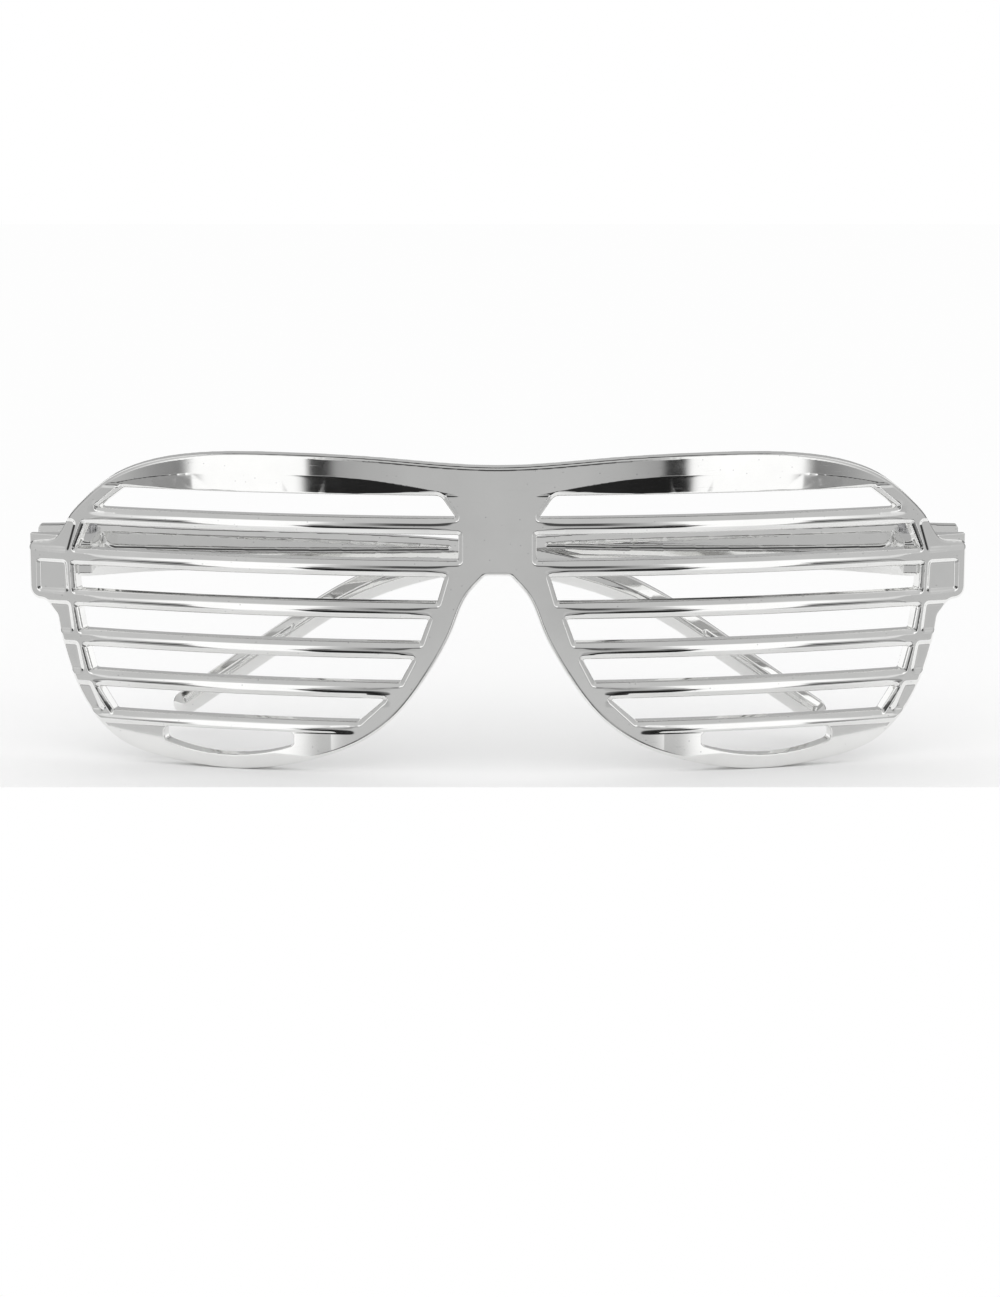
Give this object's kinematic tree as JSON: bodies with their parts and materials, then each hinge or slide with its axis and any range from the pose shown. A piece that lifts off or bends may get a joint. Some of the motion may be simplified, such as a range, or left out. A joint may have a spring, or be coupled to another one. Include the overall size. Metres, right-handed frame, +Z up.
{
  "type": "slatted novelty glasses",
  "caption": "Wrap-round party glasses with horizontal slats in place of lenses, a mirror-bright metallised finish and two folding temples with ear hooks.",
  "frame": {"origin": "top of the nose arch, on the front face, in the middle of the width", "axes": "+X along the width towards the wearer's left, +Y from the front back towards the wearer's head, +Z up; stored with both temples folded"},
  "size_m": [0.1508, 0.0344, 0.0507],
  "materials": {
    "front_chrome": "metallised plastic, polished",
    "temple_chrome": "metallised plastic, polished",
    "screw_steel": "bright steel"
  },
  "bodies": {
    "front": {"front_frame": "front_chrome", "hinge_screw_left": "screw_steel", "hinge_screw_right": "screw_steel"},
    "left_temple": {"temple_left": "temple_chrome"},
    "right_temple": {"temple_right": "temple_chrome"}
  },
  "joints": [
    {"name": "temple_left_hinge", "type": "hinge", "parent": "front", "child": "left_temple", "pos_m": [0.0666, 0.0266, 0], "axis": [0, 0, -1], "range_deg": [0, 88.4]},
    {"name": "temple_right_hinge", "type": "hinge", "parent": "front", "child": "right_temple", "pos_m": [-0.0666, 0.0266, 0], "axis": [0, 0, 1], "range_deg": [0, 91.6]}
  ]
}
